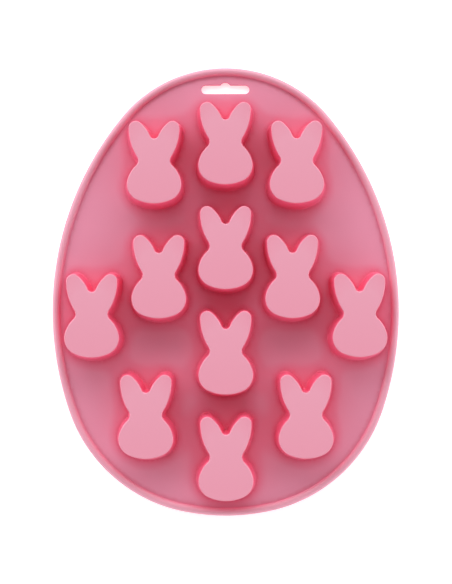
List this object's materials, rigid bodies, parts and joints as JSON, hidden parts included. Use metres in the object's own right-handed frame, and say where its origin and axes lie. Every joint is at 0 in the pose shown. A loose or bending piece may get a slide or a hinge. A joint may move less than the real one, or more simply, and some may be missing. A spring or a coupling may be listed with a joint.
{
  "type": "silicone soap mould",
  "caption": "Flat egg-shaped silicone mould with a beaded rim, a hanging slot and rabbit-head cups that open at its flat underside.",
  "frame": {"origin": "middle of the outline, in the plane of the open mouths on which the mould lies", "axes": "+Z out through the floors of the cups, +Y towards the narrow end with the hanging slot, +X to the right when seen from above"},
  "size_m": [0.2296, 0.2972, 0.022],
  "materials": {
    "silicone": "soft matte moulded silicone, pink"
  },
  "bodies": {
    "root": {"cup_first": "silicone", "cup_inner_left": "silicone", "cup_inner_right": "silicone", "cup_last": "silicone", "cup_lower_left": "silicone", "cup_lower_right": "silicone", "cup_outer_left": "silicone", "cup_outer_right": "silicone", "cup_second": "silicone", "cup_third": "silicone", "cup_upper_left": "silicone", "cup_upper_right": "silicone", "deck_sheet": "silicone", "rim_bead": "silicone"}
  },
  "joints": []
}
